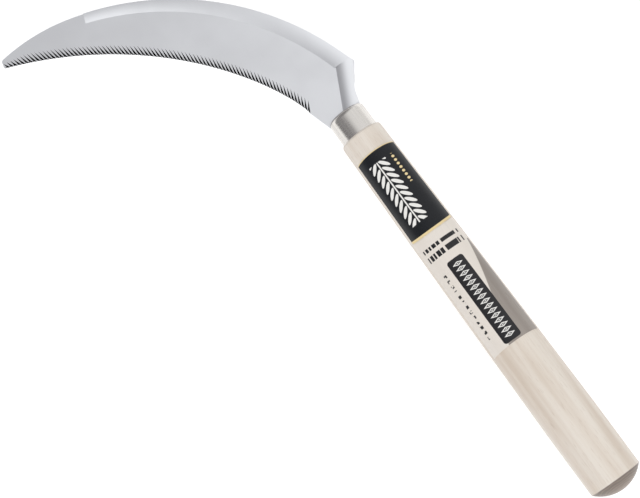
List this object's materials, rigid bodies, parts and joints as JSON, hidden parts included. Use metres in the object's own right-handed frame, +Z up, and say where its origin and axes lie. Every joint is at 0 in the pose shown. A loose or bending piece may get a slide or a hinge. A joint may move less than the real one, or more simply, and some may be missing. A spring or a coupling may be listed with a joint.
{
  "type": "serrated sickle",
  "caption": "Hand sickle for rice and weeds: a curved pressed steel blade with a saw-toothed inner edge in a turned wooden handle with a steel ferrule and labels.",
  "frame": {"origin": "on the handle's axis, in the plane of the butt's rim where the parallel grip ends and the dome begins", "axes": "+X along the handle towards the blade, +Y towards the side that the blade curves to, +Z up; the sickle lies on its back, rolled about X until the blade's tip and the butt are level with the ground 14 mm under the origin"},
  "size_m": [0.3546, 0.1435, 0.028],
  "materials": {
    "handle_wood": "pale turned hardwood, sanded, thin clear coat",
    "blade_steel": "satin rolled stainless sheet",
    "ferrule_steel": "bright pressed stainless sheet",
    "nail_steel": "plain drawn steel nail",
    "front_label_paper": "gloss black print with gold borders and a plain ornament",
    "info_label_foil": "glossy silvery film with plain black bars"
  },
  "bodies": {
    "root": {"handle": "handle_wood", "ferrule": "ferrule_steel", "blade": "blade_steel", "tang_nail": "nail_steel", "front_label": "front_label_paper", "info_label": "info_label_foil"}
  },
  "joints": []
}
